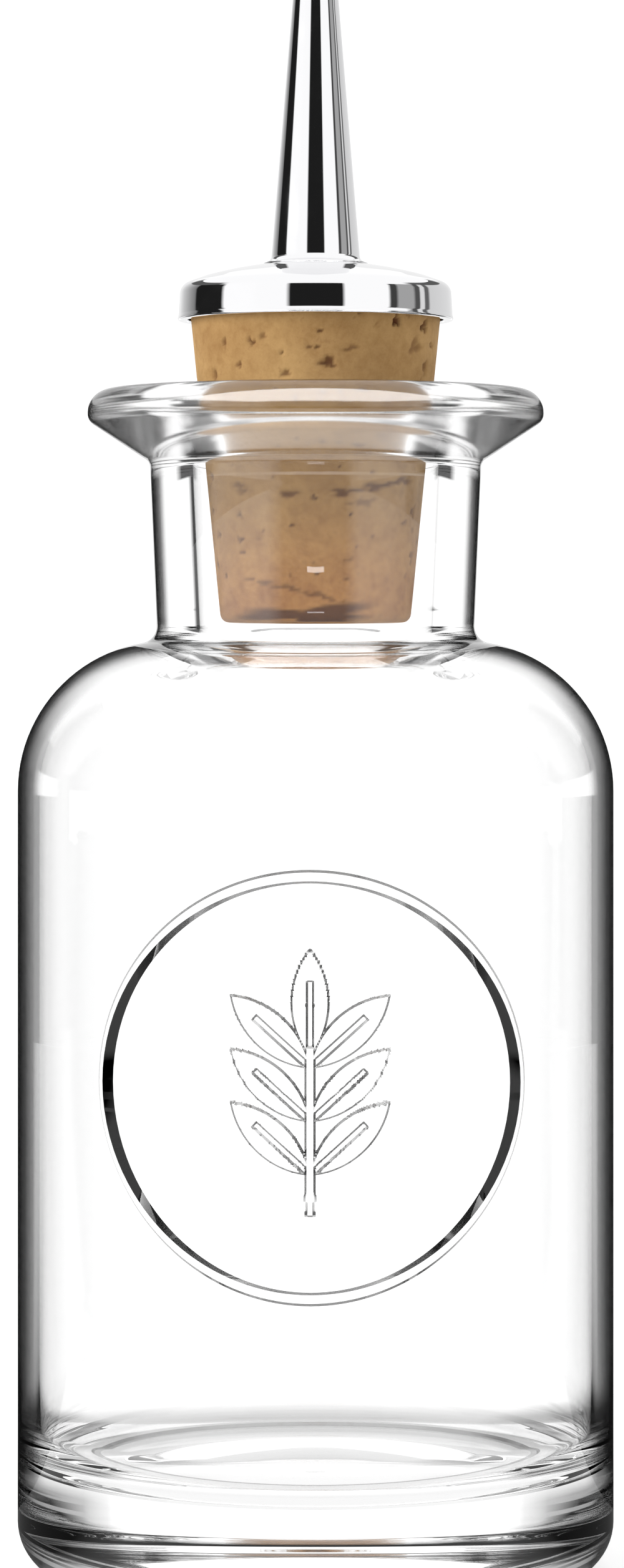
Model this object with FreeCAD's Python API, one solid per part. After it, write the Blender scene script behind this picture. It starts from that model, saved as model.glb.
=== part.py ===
import FreeCAD, Part
import math
import os

# Lengths are in millimetres. The bottle stands on the XY plane, centred on Z, with its ring in front (-Y).

# Glass: body and base
body_diameter = 56.0
body_wall_height = 68.4
heel_radius = 4.9
wall = 2.0
floor_height = 10.1
floor_crown = 0.8
floor_corner_radius = 4.5
foot_ring_width = 5.1
punt_depth = 2.6

# Glass: mouth, neck and lip
mouth_diameter = 22.1
mouth_edge_radius = 1.0
throat_depth = 4.0
bore_relief = 0.55
bore_flare_height = 3.0
bore_taper = 0.7
bore_rounding = 3.0
neck_wall = 4.0
neck_root_radius = 1.6
finish_height = 23.6
lip_overhang = 5.85
lip_depth = 2.9
lip_flare_height = 3.9
lip_root_radius = 0.9
lip_edge_share = 0.74
lip_under_share = 0.4

# Glass: raised ring and leaf sprig on the front
ring_diameter = 38.8
ring_width = 1.2
ring_relief = 0.8
ring_shoulder_gap = 5.6
sprig_relief = 0.6
stalk_width = 0.8
stalk_foot_share = -0.62
stalk_head_share = 0.2
leaf_length_share = 0.52
leaf_width_share = 0.18
leaf_root_shares = (-0.42, -0.16, 0.1)
leaf_lean = 48.0

# Cork
cork_reveal = 6.5
cork_insert = 21.8
cork_taper_share = 0.099
cork_edge_radius = 0.8
mouth_clearance = 0.08

# Metal head: cap, spout and the ferrule that holds them to the cork
cap_wall = 1.0
skirt_height = 3.35
dome_height = 2.25
cap_edge_radius = 1.1
roof_inset = 0.5
cork_clearance = 0.15
spout_height = 31.2
spout_base_diameter = 8.44
spout_tip_diameter = 3.3
spout_tip_wall = 0.65
tip_edge_radius = 0.3
foot_fillet = 0.75
foot_edge = 0.15
spigot_length = 6.0
spigot_wall = 0.7
spigot_clearance = 0.03
stem_diameter = 8.2
stem_wall = 0.5
stem_length = 14.0
stem_clearance = 0.05
flange_width = 4.9
flange_thickness = 1.0

# Reach of a cutting tool past the solid it cuts
overrun = 1.0

# Glass sizes that follow
body_radius = body_diameter / 2
mouth_radius = mouth_diameter / 2
bore_top_radius = mouth_radius + bore_relief
bore_foot_radius = bore_top_radius - bore_taper
neck_top_radius = bore_top_radius + neck_wall
neck_foot_radius = bore_foot_radius + neck_wall
lip_radius = neck_top_radius + lip_overhang
shoulder_centre_radius = bore_foot_radius + bore_rounding
shoulder_radius = body_radius - shoulder_centre_radius
shoulder_z = heel_radius + body_wall_height
shoulder_top_z = shoulder_z + shoulder_radius
ceiling_z = shoulder_top_z - wall
lip_top_z = shoulder_top_z + finish_height
lip_low_z = lip_top_z - lip_depth
lip_foot_z = lip_low_z - lip_flare_height
ring_radius = ring_diameter / 2
ring_inner_radius = ring_radius - ring_width
ring_z = shoulder_z - ring_shoulder_gap - ring_radius

# Stopper sizes that follow
seat_z = lip_top_z - mouth_edge_radius
cap_z = lip_top_z + cork_reveal
skirt_top_z = cap_z + skirt_height
roof_z = skirt_top_z - roof_inset
cork_top_z = roof_z - flange_thickness
cork_foot_z = lip_top_z - cork_insert
stem_radius = stem_diameter / 2
stem_bore_radius = stem_radius - stem_wall
cork_bore_radius = stem_radius + stem_clearance
spigot_radius = stem_bore_radius - spigot_clearance
spigot_bore_radius = spigot_radius - spigot_wall
cap_hole_radius = spigot_radius + stem_clearance
spout_base_radius = spout_base_diameter / 2
spout_tip_radius = spout_tip_diameter / 2
spout_lean = math.atan2(spout_base_radius - spout_tip_radius, spout_height)
foot_radius = spout_base_radius + foot_fillet / math.tan((math.pi / 2 + spout_lean) / 2)


def cork_radius(z):
    return mouth_radius - mouth_clearance + cork_taper_share * (z - seat_z)


recess_radius = cork_radius(cork_top_z) + cork_clearance
cap_radius = recess_radius + cap_wall
dome_radius = (cap_radius ** 2 + dome_height ** 2) / (2 * dome_height)
dome_centre_z = skirt_top_z + dome_height - dome_radius
spout_z = dome_centre_z + math.sqrt(dome_radius ** 2 - foot_radius ** 2)


def point(r, z):
    return FreeCAD.Vector(r, 0, z)


def line(start, end):
    return Part.makeLine(start, end)


def arc(start, middle, end):
    return Part.Arc(start, middle, end).toShape()


def turned_arc(centre, radius, first, last):
    """Arc about a centre, between two angles in degrees measured up from the horizontal."""
    angles = [math.radians(a) for a in (first, (first + last) / 2, last)]
    return arc(*[centre + point(math.cos(a), math.sin(a)) * radius for a in angles])


def rounded_path(corners):
    """Lines through (point, radius) corners, each rounded by its radius. The ends have radius 0."""
    edges = []
    reached = corners[0][0]
    for (before, _), (corner, radius), (after, _) in zip(corners, corners[1:], corners[2:]):
        back = (before - corner).normalize()
        ahead = (after - corner).normalize()
        half = back.getAngle(ahead) / 2
        if radius:
            middle = (back + ahead).normalize() * (radius / math.sin(half) - radius)
            start = corner + back * (radius / math.tan(half))
            end = corner + ahead * (radius / math.tan(half))
            edges.append(line(reached, start))
            edges.append(arc(start, corner + middle, end))
            reached = end
        else:
            edges.append(line(reached, corner))
            reached = corner
    edges.append(line(reached, corners[-1][0]))
    return edges


def revolve(edges):
    face = Part.Face(Part.Wire(Part.__sortEdges__(edges)))
    solid = face.revolve(FreeCAD.Vector(), FreeCAD.Vector(0, 0, 1), 360)
    return Part.Solid(solid) if solid.ShapeType == "Shell" else solid


def turned(corners):
    """Solid of revolution from a closed ring of (point, radius) corners. The first is left sharp."""
    first = (corners[0][0], 0)
    return revolve(rounded_path([first] + corners[1:] + [first]))


def base_edges():
    """Underside from the axis to the top of the straight wall: punt, foot ring and heel."""
    foot_outer = body_radius - heel_radius
    foot_inner = foot_outer - foot_ring_width
    punt_radius = (foot_inner ** 2 + punt_depth ** 2) / (2 * punt_depth)
    half_way = foot_inner / 2
    half_z = punt_depth - punt_radius + math.sqrt(punt_radius ** 2 - half_way ** 2)
    heel_centre = point(foot_outer, heel_radius)
    return [
        arc(point(0, punt_depth), point(half_way, half_z), point(foot_inner, 0)),
        line(point(foot_inner, 0), point(foot_outer, 0)),
        turned_arc(heel_centre, heel_radius, -90, 0),
        line(point(body_radius, heel_radius), point(body_radius, shoulder_z)),
    ]


def shoulder_edges():
    """Shoulder arc and the hollow at the neck root. Returns the edges and the point where the neck starts."""
    centre = point(shoulder_centre_radius, shoulder_z)
    neck_foot = point(neck_foot_radius, shoulder_top_z)
    up = (point(neck_top_radius, lip_foot_z) - neck_foot).normalize()
    out = point(up.z, -up.x)
    reach = shoulder_radius + neck_root_radius
    offset = neck_foot + out * neck_root_radius - centre
    along = up.dot(offset)
    climb = math.sqrt(along ** 2 - offset.dot(offset) + reach ** 2) - along
    root_centre = centre + offset + up * climb
    to_shoulder = (centre - root_centre).normalize()
    start = point(body_radius, shoulder_z)
    meet = root_centre + to_shoulder * neck_root_radius
    neck_start = root_centre - out * neck_root_radius
    halfway = (point(1, 0) + (meet - centre).normalize()).normalize()
    hollow = root_centre + (to_shoulder - out).normalize() * neck_root_radius
    edges = [arc(start, centre + halfway * shoulder_radius, meet), arc(meet, hollow, neck_start)]
    return edges, neck_start


def finish_edges(neck_start):
    """Neck, lip and mouth, then down the bore to its rounded foot."""
    throat_z = lip_top_z - throat_depth
    return rounded_path([
        (neck_start, 0),
        (point(neck_top_radius, lip_foot_z), lip_root_radius),
        (point(lip_radius, lip_low_z), lip_depth * lip_under_share),
        (point(lip_radius, lip_top_z), lip_depth * lip_edge_share),
        (point(mouth_radius, lip_top_z), mouth_edge_radius),
        (point(mouth_radius, throat_z), 0),
        (point(bore_top_radius, throat_z - bore_flare_height), 0),
        (point(bore_foot_radius, ceiling_z + bore_rounding), 0),
    ])


def inside_edges():
    """Inner shoulder, wall and floor, from the foot of the bore to the axis."""
    inner_radius = body_radius - wall
    floor_edge = inner_radius - floor_corner_radius
    corner_z = floor_height + floor_corner_radius
    centre_floor = point(0, floor_height + floor_crown)
    return [
        turned_arc(point(shoulder_centre_radius, ceiling_z + bore_rounding), bore_rounding, 180, 270),
        turned_arc(point(shoulder_centre_radius, shoulder_z), shoulder_radius - wall, 90, 0),
        line(point(inner_radius, shoulder_z), point(inner_radius, corner_z)),
        turned_arc(point(floor_edge, corner_z), floor_corner_radius, 0, -90),
        line(point(floor_edge, floor_height), centre_floor),
        line(centre_floor, point(0, punt_depth)),
    ]


def front_shell(relief):
    """Thin cylinder wall that stands proud of the body by the relief and reaches into the glass."""
    height = body_wall_height
    floor = FreeCAD.Vector(0, 0, heel_radius)
    outer = Part.makeCylinder(body_radius + relief, height, floor)
    return outer.cut(Part.makeCylinder(body_radius - wall / 2, height, floor))


def to_front(face):
    """Pushes a flat outline on the XZ plane out through the front of the bottle."""
    return face.extrude(FreeCAD.Vector(0, -body_radius - overrun, 0))


def disc(radius):
    circle = Part.makeCircle(radius, FreeCAD.Vector(0, 0, ring_z), FreeCAD.Vector(0, 1, 0))
    return Part.Face(Part.Wire(circle))


def leaf(root_z, lean):
    """Pointed oval on the XZ plane, rooted on the sprig's stalk and leaning from upright in degrees."""
    length = ring_inner_radius * leaf_length_share
    half_width = ring_inner_radius * leaf_width_share / 2
    along = FreeCAD.Vector(math.sin(math.radians(lean)), 0, math.cos(math.radians(lean)))
    across = FreeCAD.Vector(along.z, 0, -along.x)
    root = FreeCAD.Vector(0, 0, root_z)
    tip = root + along * length
    belly = root + along * (length / 2)
    edges = [arc(root, belly + across * half_width, tip), arc(tip, belly - across * half_width, root)]
    return Part.Face(Part.Wire(edges))


def sprig():
    """Upright stalk with paired leaves and one leaf at its head."""
    foot_z = ring_z + ring_inner_radius * stalk_foot_share
    head_z = ring_z + ring_inner_radius * stalk_head_share
    reach = body_radius + overrun
    corner = FreeCAD.Vector(-stalk_width / 2, -reach, foot_z)
    stalk = Part.makeBox(stalk_width, reach, head_z - foot_z, corner)
    leaves = [to_front(leaf(head_z - stalk_width, 0))]
    for share in leaf_root_shares:
        root_z = ring_z + ring_inner_radius * share
        leaves.append(to_front(leaf(root_z, leaf_lean)))
        leaves.append(to_front(leaf(root_z, -leaf_lean)))
    return stalk.multiFuse(leaves)


def glass_bottle():
    upper, neck_start = shoulder_edges()
    blank = revolve(base_edges() + upper + finish_edges(neck_start) + inside_edges())
    band = to_front(disc(ring_radius)).cut(to_front(disc(ring_inner_radius)))
    ring = band.common(front_shell(ring_relief))
    relief = sprig().common(front_shell(sprig_relief))
    return blank.fuse(ring).fuse(relief)


def cork_stopper():
    return turned([
        (point(cork_bore_radius, cork_foot_z), 0),
        (point(cork_radius(cork_foot_z), cork_foot_z), cork_edge_radius),
        (point(cork_radius(cork_top_z), cork_top_z), 0),
        (point(cork_bore_radius, cork_top_z), 0),
    ])


def cap_disc():
    dome_mid = (foot_radius + cap_radius) / 2
    dome_mid_z = dome_centre_z + math.sqrt(dome_radius ** 2 - dome_mid ** 2)
    rim = point(cap_radius, skirt_top_z)
    under = rounded_path([
        (point(foot_radius, spout_z), 0),
        (point(cap_hole_radius, spout_z), 0),
        (point(cap_hole_radius, roof_z), 0),
        (point(recess_radius, roof_z), 0),
        (point(recess_radius, cap_z), 0),
        (point(cap_radius, cap_z), 0),
        (rim, 0),
    ])
    cap = revolve(under + [arc(rim, point(dome_mid, dome_mid_z), point(foot_radius, spout_z))])
    edges = [e for e in cap.Edges if is_rim(e)]
    return cap.makeFillet(cap_edge_radius, edges)


def is_rim(edge):
    """True for the circle where the skirt of the cap meets its dome."""
    if not isinstance(edge.Curve, Part.Circle):
        return False
    same_size = math.isclose(edge.Curve.Radius, cap_radius, rel_tol=1e-6)
    return same_size and math.isclose(edge.Curve.Center.z, skirt_top_z, rel_tol=1e-6)


def spout_tube():
    tip_z = spout_z + spout_height
    foot_z = spout_z + foot_edge
    return turned([
        (point(spigot_bore_radius, roof_z - spigot_length), 0),
        (point(spigot_radius, roof_z - spigot_length), 0),
        (point(spigot_radius, spout_z), 0),
        (point(foot_radius, spout_z), 0),
        (point(foot_radius, foot_z), 0),
        (point(spout_base_radius, foot_z), foot_fillet),
        (point(spout_tip_radius, tip_z), tip_edge_radius),
        (point(spout_tip_radius - spout_tip_wall, tip_z), 0),
        (point(spigot_bore_radius, spout_z), 0),
    ])


def stem_ferrule():
    return turned([
        (point(stem_bore_radius, cork_top_z - stem_length), 0),
        (point(stem_radius, cork_top_z - stem_length), 0),
        (point(stem_radius, cork_top_z), 0),
        (point(stem_radius + flange_width, cork_top_z), 0),
        (point(stem_radius + flange_width, roof_z), 0),
        (point(stem_bore_radius, roof_z), 0),
    ])


pieces = {
    "glass_bottle": glass_bottle(),
    "cork_stopper": cork_stopper(),
    "cap_disc": cap_disc(),
    "spout_tube": spout_tube(),
    "stem_ferrule": stem_ferrule(),
}

os.makedirs("parts", exist_ok=True)
for name, solid in pieces.items():
    solid.exportStep("parts/" + name + ".step")
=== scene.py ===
import bpy
import math
import random
import numpy as np
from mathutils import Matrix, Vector


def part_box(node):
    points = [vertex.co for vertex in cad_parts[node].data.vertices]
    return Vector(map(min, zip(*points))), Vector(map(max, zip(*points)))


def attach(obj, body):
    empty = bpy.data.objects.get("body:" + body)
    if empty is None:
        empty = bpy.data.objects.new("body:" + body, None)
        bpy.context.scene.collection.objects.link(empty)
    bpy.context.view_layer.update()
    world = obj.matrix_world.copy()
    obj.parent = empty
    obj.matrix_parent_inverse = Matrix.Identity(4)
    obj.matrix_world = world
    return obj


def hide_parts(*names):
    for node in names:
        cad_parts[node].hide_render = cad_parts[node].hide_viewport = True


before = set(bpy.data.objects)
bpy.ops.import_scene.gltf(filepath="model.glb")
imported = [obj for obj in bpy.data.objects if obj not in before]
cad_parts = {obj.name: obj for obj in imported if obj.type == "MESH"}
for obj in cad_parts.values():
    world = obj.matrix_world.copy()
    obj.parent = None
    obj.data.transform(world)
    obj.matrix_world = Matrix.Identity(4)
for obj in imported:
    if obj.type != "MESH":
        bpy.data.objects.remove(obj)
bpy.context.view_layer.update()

# Shapes are worked out in millimetres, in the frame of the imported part, and go to Blender in metres.
mm = 0.001
onAxis = 1e-6  # a smaller radius counts as on the axis
apart = 1e-4  # least distance between points of a profile


def boxMm(node):
    low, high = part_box(node)
    return low / mm, high / mm


glassLow, glassHigh = boxMm("glass_bottle")
corkLow, corkHigh = boxMm("cork_stopper")
capLow, capHigh = boxMm("cap_disc")
spoutLow, spoutHigh = boxMm("spout_tube")
ferruleLow, ferruleHigh = boxMm("stem_ferrule")


# Profiles and turned shapes

def smoothStep(t):
    t = np.clip(t, 0.0, 1.0)
    return t * t * (3.0 - 2.0 * t)


# Value at a place between (place, value) stops
def valueAt(stops, place):
    return np.interp(place, *zip(*stops))


def runTo(points, end, step):
    start = points[-1]
    count = max(1, math.ceil(math.dist(start, end) / step))
    for i in range(1, count + 1):
        t = i / count
        points.append((start[0] + (end[0] - start[0]) * t, start[1] + (end[1] - start[1]) * t))


def arcAbout(points, centre, radius, first, last, turn):
    count = max(2, math.ceil(abs(last - first) / turn))
    for i in range(count + 1):
        a = math.radians(first + (last - first) * i / count)
        p = (centre[0] + radius * math.cos(a), centre[1] + radius * math.sin(a))
        if math.dist(p, points[-1]) > apart:
            points.append(p)


# Lines through (r, z, rounding) corners, each rounded by its own radius
def roundedPath(corners, step, turn):
    points = [corners[0][:2]]
    for (br, bz, _), (cr, cz, rounding), (ar, az, _) in zip(corners, corners[1:], corners[2:]):
        back = Vector((br - cr, bz - cz)).normalized()
        ahead = Vector((ar - cr, az - cz)).normalized()
        corner = Vector((cr, cz))
        if rounding:
            half = back.angle(ahead) / 2
            start = corner + back * rounding / math.tan(half)
            end = corner + ahead * rounding / math.tan(half)
            centre = corner + (back + ahead).normalized() * rounding / math.sin(half)
            runTo(points, tuple(start), step)
            first = math.degrees(math.atan2(*(start - centre).yx))
            last = math.degrees(math.atan2(*(end - centre).yx))
            last = first + (last - first + 180.0) % 360.0 - 180.0
            arcAbout(points, tuple(centre), rounding, first, last, turn)
        else:
            runTo(points, (cr, cz), step)
    runTo(points, corners[-1][:2], step)
    return points


# Azimuth 0 is the front of the part (-Y), and it grows towards +X.
def onRound(r, azimuth, z):
    return np.stack([r * np.sin(azimuth), -r * np.cos(azimuth), z], axis=-1)


def addObject(name, data):
    thing = bpy.data.objects.new(name, data)
    bpy.context.scene.collection.objects.link(thing)
    return thing


def addPiece(name, points, faces, materials, body, node):
    mesh = bpy.data.meshes.new(name)
    mesh.from_pydata((np.asarray(points) * mm).tolist(), [], faces)
    mesh.polygons.foreach_set("use_smooth", [True] * len(mesh.polygons))
    for material in materials:
        mesh.materials.append(material)
    mesh.validate()
    mesh.update()
    piece = addObject(name, mesh)
    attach(piece, body)
    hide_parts(node)
    return piece


# Faces between two closed rings, where one may have twice the points of the other
def joinRings(outer, inner):
    n, m = len(outer), len(inner)
    if n == m:
        faces = [[outer[i], outer[(i + 1) % n], inner[(i + 1) % m], inner[i]] for i in range(n)]
    elif m > n:
        faces = [[outer[i], outer[(i + 1) % n], inner[(2 * i + 2) % m], inner[2 * i + 1], inner[2 * i]]
                 for i in range(n)]
    else:
        faces = [[outer[2 * i], outer[2 * i + 1], outer[(2 * i + 2) % n], inner[(i + 1) % m], inner[i]]
                 for i in range(m)]
    return [list(dict.fromkeys(face)) for face in faces]


def joinAll(rings):
    return [face for outer, inner in zip(rings, rings[1:]) for face in joinRings(outer, inner)]


# Rings of points turned from (r, z) points. A point on the axis is a ring of one point, and the rows
# named as fine have twice the columns. A profile that starts off the axis runs back to its start.
def turnedRings(profile, columns, fine=()):
    points, rings = [], []
    for row, (r, z) in enumerate(profile):
        first = len(points)
        if r < onAxis:
            points.append((0.0, 0.0, z))
            rings.append([first] * columns)
            continue
        count = 2 * columns if row in fine else columns
        azimuth = np.arange(count) * 2 * math.pi / count
        points.extend(onRound(np.full(count, r), azimuth, np.full(count, z)).tolist())
        rings.append(list(range(first, first + count)))
    if profile[0][0] > onAxis:
        rings.append(rings[0])
    return points, rings


def turnedMesh(profile, columns):
    points, rings = turnedRings(profile, columns)
    return points, joinAll(rings)


# Materials

def newMaterial(name):
    material = bpy.data.materials.new(name)
    material.use_nodes = True
    tree = material.node_tree
    return material, tree, tree.nodes["Principled BSDF"]


# Settings and sockets of a node by name or number, where a value that is a socket itself is linked
def setNode(tree, node, values):
    for key, value in values.items():
        if isinstance(value, bpy.types.NodeSocket):
            tree.links.new(value, node.inputs[key])
        elif isinstance(key, str) and hasattr(node, key):
            setattr(node, key, value)
        else:
            node.inputs[key].default_value = value
    return node


def addNode(tree, kind, **values):
    return setNode(tree, tree.nodes.new(kind), values)


# Place on the piece, in metres
def addPlace(tree):
    return addNode(tree, "ShaderNodeTexCoord").outputs["Object"]


# Values from low to high, spread over 0 to 1
def addSpread(tree, value, low, high, kind="LINEAR"):
    spread = addNode(tree, "ShaderNodeMapRange", interpolation_type=kind, Value=value)
    return setNode(tree, spread, {"From Min": low, "From Max": high}).outputs["Result"]


def addRamp(tree, value, stops):
    ramp = addNode(tree, "ShaderNodeValToRGB", Fac=value)
    elements = ramp.color_ramp.elements
    while len(elements) < len(stops):
        elements.new(0.5)
    for element, (position, colour) in zip(elements, stops):
        element.position = position
        element.color = (*colour, 1.0) if hasattr(colour, "__len__") else (colour, colour, colour, 1.0)
    return ramp.outputs["Color"]


# Value against the height in millimetres
def addHeightRamp(tree, z, stops):
    low, high = stops[0][0], stops[-1][0]
    spread = addSpread(tree, z, low * mm, high * mm)
    return addRamp(tree, spread, [((height - low) / (high - low), value) for height, value in stops])


def addMix(tree, share, first, second, data="RGBA", kind="MIX"):
    mix = addNode(tree, "ShaderNodeMix", data_type=data, blend_type=kind, Factor=share, A=first, B=second)
    return mix.outputs["Result"]


def newGroup(name, inputs, outputs):
    group = bpy.data.node_groups.new(name, "ShaderNodeTree")
    for label, kind, value in inputs:
        socket = group.interface.new_socket(name=label, in_out="INPUT", socket_type=kind)
        socket.default_value = value
    for label, kind in outputs:
        group.interface.new_socket(name=label, in_out="OUTPUT", socket_type=kind)
    return group, addNode(group, "NodeGroupInput").outputs, addNode(group, "NodeGroupOutput")


# Slow ripple of a formed surface, as a height for a bump
def rippleGroup():
    group, given, end = newGroup(
        "surfaceRipple",
        [("Scale", "NodeSocketFloat", 60.0), ("Stretch", "NodeSocketVector", (1.0, 1.0, 1.0))],
        [("Height", "NodeSocketFloat")])
    stretch = addNode(group, "ShaderNodeVectorMath", operation="MULTIPLY")
    setNode(group, stretch, {0: addPlace(group), 1: given["Stretch"]})
    noise = addNode(group, "ShaderNodeTexNoise", Vector=stretch.outputs["Vector"], Scale=given["Scale"],
                    Detail=1.5, Roughness=0.4)
    setNode(group, end, {"Height": noise.outputs["Fac"]})
    return group


# Wiped finger marks and dust, as a roughness
def handlingGroup():
    group, given, end = newGroup(
        "handlingMarks",
        [("Clean", "NodeSocketFloat", 0.02), ("Marked", "NodeSocketFloat", 0.1),
         ("Scale", "NodeSocketFloat", 90.0)],
        [("Roughness", "NodeSocketFloat")])
    cloud = addNode(group, "ShaderNodeTexNoise", Vector=addPlace(group), Scale=given["Scale"],
                    Detail=4.0, Roughness=0.6, Distortion=0.6)
    mask = addSpread(group, cloud.outputs["Fac"], low=0.5, high=0.75, kind="SMOOTHSTEP")
    spread = addNode(group, "ShaderNodeMapRange", Value=mask)
    setNode(group, spread, {"To Min": given["Clean"], "To Max": given["Marked"]})
    setNode(group, end, {"Roughness": spread.outputs["Result"]})
    return group


# Painted shade on the flanks of the glass's relief and on its floor's rim: the share that each face carries
# darkens the glass, as a colour
def paintedReliefShadeGroup():
    group, _, end = newGroup("paintedReliefShade", [], [("Colour", "NodeSocketColor")])
    share = addNode(group, "ShaderNodeAttribute", attribute_name="share")
    setNode(group, end, {"Colour": addRamp(group, share.outputs["Fac"], [(0.0, 0.0), (1.0, 1.0)])})
    return group


ripple = rippleGroup()
handling = handlingGroup()
relief = paintedReliefShadeGroup()


def placeGroup(tree, group, **values):
    return addNode(tree, "ShaderNodeGroup", node_tree=group, **values)


def addBump(tree, shader, height, strength, depth):
    bump = addNode(tree, "ShaderNodeBump", Height=height, Strength=strength, Distance=depth)
    setNode(tree, shader, {"Normal": bump.outputs["Normal"]})


def addRipple(tree, shader, finish, strength):
    wave = placeGroup(tree, ripple, Scale=finish["rippleScale"], Stretch=finish["rippleStretch"])
    addBump(tree, shader, wave.outputs["Height"], strength, finish["rippleDepth"])


glassFinish = {
    "ior": 1.5,
    "rippleScale": 55.0,
    "rippleStretch": (1.0, 1.0, 0.45),
    "outsideRipple": 0.02,
    "insideRipple": 0.05,
    "rippleDepth": 0.0004,
    # painted shade at the edges of the outer surface: the share of the glass's colour left on each stretch,
    # against how far it turns from the eye: 0 facing, 1 edge-on
    "bodyEdge": [(0.585, 1.0), (0.618, 0.72), (0.651, 0.27), (0.686, 0.06), (0.728, 0.0225),
                 (0.776, 0.0045), (0.85, 0.0008), (1.0, 0.0)],
    "shoulderEdge": [(0.63, 1.0), (0.672, 0.86), (0.72, 0.66), (0.748, 0.41), (0.781, 0.16), (0.82, 0.027),
                     (0.872, 0.004), (1.0, 0.0)],
    "lipEdge": [(0.68, 1.0), (0.724, 0.9), (0.792, 0.45), (0.826, 0.2), (0.878, 0.04), (1.0, 0.0)],
    "baseEdge": [(0.25, 1.0), (0.3, 0.55), (0.384, 0.22), (0.5, 0.12), (0.658, 0.08), (0.8, 0.03),
                 (1.0, 0.0)],
    # how far the other stretches' painted edge shades take over from the body's, and how rough the lip is,
    # against the height in mm
    "shoulderHeights": [(75.0, 0.0), (78.3, 0.1), (81.3, 0.42), (84.2, 1.0), (87.0, 1.0), (89.0, 0.0)],
    "lipHeights": [(102.5, 0.0), (104.5, 1.0)],
    "baseHeights": [(9.8, 1.0), (11.8, 0.0)],
    "lipRoughness": [(103.0, 0.0), (105.0, 0.13)],
}


def glassMaterial(name, rippleStrength, edges):
    material, tree, shader = newMaterial(name)
    setNode(tree, shader, {"Transmission Weight": 1.0, "IOR": glassFinish["ior"], "Roughness": 0.0})
    addRipple(tree, shader, glassFinish, rippleStrength)
    # painted shade: the relief's flanks and the floor's rim darken the glass's colour
    paintedShade = placeGroup(tree, relief).outputs["Colour"]
    # painted shade: the outer surface's colour darkens towards its edges, by how far it turns from the eye
    if edges:
        z = addNode(tree, "ShaderNodeSeparateXYZ", Vector=addPlace(tree)).outputs["Z"]
        turned = addNode(tree, "ShaderNodeLayerWeight", Blend=0.5).outputs["Facing"]
        paintedEdgeShade = addRamp(tree, turned, glassFinish["bodyEdge"])
        for stretch in ("shoulder", "lip", "base"):
            share = addHeightRamp(tree, z, glassFinish[stretch + "Heights"])
            paintedEdgeShade = addMix(tree, share, paintedEdgeShade, addRamp(tree, turned, glassFinish[stretch + "Edge"]))
        paintedShade = addMix(tree, 1.0, paintedShade, paintedEdgeShade, kind="MULTIPLY")
        setNode(tree, shader, {"Roughness": addHeightRamp(tree, z, glassFinish["lipRoughness"])})
    setNode(tree, shader, {"Base Color": paintedShade})
    return material


corkFinish = {
    "light": (0.435, 0.264, 0.104),
    "dark": (0.30, 0.165, 0.060),
    # painted light: lighter, redder copies of the colours for the stretch in the neck, where the glass dims
    # the light; they come in between two heights
    "paintedNeckLight": (0.62, 0.322, 0.112),
    "paintedNeckDark": (0.38, 0.166, 0.054),
    "lowStart": 0.1025,
    "lowEnd": 0.0895,
    "toneRange": (0.36, 0.62),  # cloud values of the dark and the light colour
    "cloudScale": 160.0,
    "grainScale": 900.0,
    "grainShare": 0.4,
    "speck": (0.17, 0.068, 0.026),
    "speckRange": (0.60, 0.74),
    "speckStrength": 0.35,
    "pore": (0.115, 0.042, 0.017),
    "roughness": 0.75,
    "gloss": 0.08,
    "cellScale": 1400.0,
    "cellShare": 0.5,
    "bumpStrength": 0.35,
    "bumpDepth": 0.0002,
}


def corkMaterial():
    material, tree, shader = newMaterial("naturalCork")
    place = addPlace(tree)
    cloud = addNode(tree, "ShaderNodeTexNoise", Vector=place, Scale=corkFinish["cloudScale"],
                    Detail=5.0, Roughness=0.62).outputs["Fac"]
    grain = addNode(tree, "ShaderNodeTexNoise", Vector=place, Scale=corkFinish["grainScale"],
                    Detail=3.0, Roughness=0.7).outputs["Fac"]
    cells = addNode(tree, "ShaderNodeTexVoronoi", Vector=place, Scale=corkFinish["cellScale"])
    cloudy = addMix(tree, corkFinish["grainShare"], cloud, grain, "FLOAT")
    # painted light: the stretch in the neck is lighter and redder, where the glass dims the light
    z = addNode(tree, "ShaderNodeSeparateXYZ", Vector=place).outputs["Z"]
    depth = addSpread(tree, z, corkFinish["lowStart"], corkFinish["lowEnd"], "SMOOTHSTEP")
    darkAt, lightAt = corkFinish["toneRange"]
    tones = [addRamp(tree, cloudy, [(darkAt, corkFinish[dark]), (lightAt, corkFinish[light])])
             for dark, light in (("dark", "light"), ("paintedNeckDark", "paintedNeckLight"))]
    colour = addMix(tree, depth, *tones)
    specks = addRamp(tree, grain, list(zip(corkFinish["speckRange"], (0.0, 1.0))))
    fade = addNode(tree, "ShaderNodeMath", operation="MULTIPLY")
    setNode(tree, fade, {0: specks, 1: corkFinish["speckStrength"]})
    colour = addMix(tree, fade.outputs["Value"], colour, (*corkFinish["speck"], 1.0))
    pore = addNode(tree, "ShaderNodeAttribute", attribute_name="pore")
    colour = addMix(tree, pore.outputs["Fac"], colour, (*corkFinish["pore"], 1.0))
    setNode(tree, shader, {"Base Color": colour, "Roughness": corkFinish["roughness"],
                           "Specular IOR Level": corkFinish["gloss"]})
    height = addMix(tree, corkFinish["cellShare"], grain, cells.outputs["Distance"], "FLOAT")
    addBump(tree, shader, height, corkFinish["bumpStrength"], corkFinish["bumpDepth"])
    return material


plateFinish = {
    "colour": (0.86, 0.86, 0.87),
    "clean": 0.025,
    "marked": 0.09,
    "markScale": 140.0,
    "rippleScale": 220.0,
    "rippleStretch": (1.0, 1.0, 0.15),
    "rippleStrength": 0.06,
    "rippleDepth": 0.0003,
}


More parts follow.
